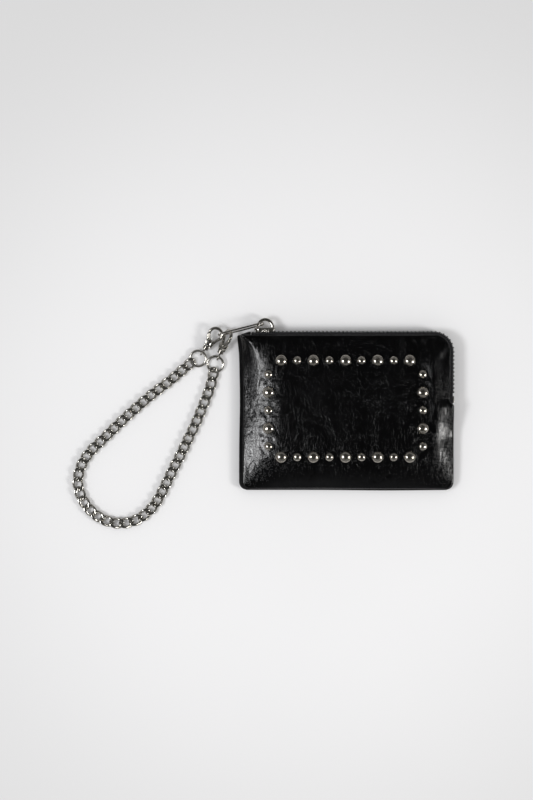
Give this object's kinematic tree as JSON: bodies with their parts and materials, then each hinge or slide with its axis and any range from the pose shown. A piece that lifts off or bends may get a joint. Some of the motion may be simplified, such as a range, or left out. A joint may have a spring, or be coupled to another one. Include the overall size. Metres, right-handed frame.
{
  "type": "studded zip pouch with chain wrist strap",
  "caption": "Small zipped leather purse with a studded front, worn on a curb-chain wrist strap held by swivel snap hooks.",
  "frame": {"origin": "centre of the pouch's outline on its flat underside", "axes": "+X along the top zip from the slider towards the corner that the zip turns, +Y across the pouch towards the top zip, +Z out of the studded front"},
  "size_m": [0.2287, 0.1264, 0.0161],
  "materials": {
    "leather": "glossy crinkled",
    "lining": "woven",
    "zip_tape": "woven",
    "zip_teeth": "satin black",
    "zip_metal": "polished",
    "studs": "polished, slightly worn",
    "hook_metal": "polished",
    "chain_metal": "polished",
    "spring_steel": "satin"
  },
  "bodies": {
    "pouch": {"front_panel": "leather", "back_panel": "leather", "front_lining": "lining", "back_lining": "lining", "zip_end_tab": "leather", "front_zip_tape": "zip_tape", "back_zip_tape": "zip_tape", "front_zip_teeth": "zip_teeth", "back_zip_teeth": "zip_teeth", "front_top_stop": "zip_metal", "back_top_stop": "zip_metal", "bottom_stop": "zip_metal", "stud_top_1": "studs", "stud_top_2": "studs", "stud_top_3": "studs", "stud_top_4": "studs", "stud_top_5": "studs", "stud_top_6": "studs", "stud_top_7": "studs", "stud_top_8": "studs", "stud_top_9": "studs", "stud_bottom_1": "studs", "stud_bottom_2": "studs", "stud_bottom_3": "studs", "stud_bottom_4": "studs", "stud_bottom_5": "studs", "stud_bottom_6": "studs", "stud_bottom_7": "studs", "stud_bottom_8": "studs", "stud_bottom_9": "studs", "stud_left_1": "studs", "stud_left_2": "studs", "stud_left_3": "studs", "stud_left_4": "studs", "stud_left_5": "studs", "stud_right_1": "studs", "stud_right_2": "studs", "stud_right_3": "studs", "stud_right_4": "studs", "stud_right_5": "studs"},
    "slider": {"zip_slider": "zip_metal"},
    "pull": {"zip_pull": "zip_metal", "chain": "chain_metal", "left_hook": "hook_metal", "left_gate_spring": "spring_steel", "left_gate_pin": "spring_steel", "left_jump_ring": "chain_metal", "right_hook": "hook_metal", "right_gate_spring": "spring_steel", "right_gate_pin": "spring_steel", "right_jump_ring": "chain_metal"},
    "left_gate": {"left_gate": "hook_metal"},
    "right_gate": {"right_gate": "hook_metal"},
    "left_swivel": {"left_swivel_eye": "hook_metal"},
    "right_swivel": {"right_swivel_eye": "hook_metal"}
  },
  "joints": [
    {"name": "zip_travel", "type": "slide", "parent": "pouch", "child": "slider", "axis": [1, 0, 0], "range_m": [0, 0.0935], "deforming": ["front_zip_teeth", "back_zip_teeth"]},
    {"name": "pull_swing", "type": "hinge", "parent": "slider", "child": "pull", "pos_m": [-0.0498, 0.0519, 0.0056], "axis": [0, 0, 1], "range_deg": [-180, 0]},
    {"name": "left_gate_open", "type": "hinge", "parent": "pull", "child": "left_gate", "pos_m": [-0.08292, 0.04151, 0.00408], "axis": [0.1234, 0.1673, -0.9781], "range_deg": [0, 32], "stiffness_Nm_per_rad": 0.01, "springref_deg": -11.46, "deforming": ["left_gate_spring"]},
    {"name": "right_gate_open", "type": "hinge", "parent": "pull", "child": "right_gate", "pos_m": [-0.07304, 0.0382, 0.00481], "axis": [-0.807, 0.2725, 0.524], "range_deg": [0, 32], "stiffness_Nm_per_rad": 0.01, "springref_deg": -11.46, "deforming": ["right_gate_spring"]},
    {"name": "left_swivel_turn", "type": "hinge", "parent": "pull", "child": "left_swivel", "pos_m": [-0.0862, 0.0347, 0.0025], "axis": [0.5805, 0.7873, 0.2079], "range_deg": [-25, 25]},
    {"name": "right_swivel_turn", "type": "hinge", "parent": "pull", "child": "right_swivel", "pos_m": [-0.0767, 0.0318, 0.0025], "axis": [0.4022, 0.9033, 0.1495], "range_deg": [-25, 25]}
  ],
  "couplings": [
    {"joint": "pull_swing", "follows": "zip_travel", "rad_per_m": -33.59}
  ]
}
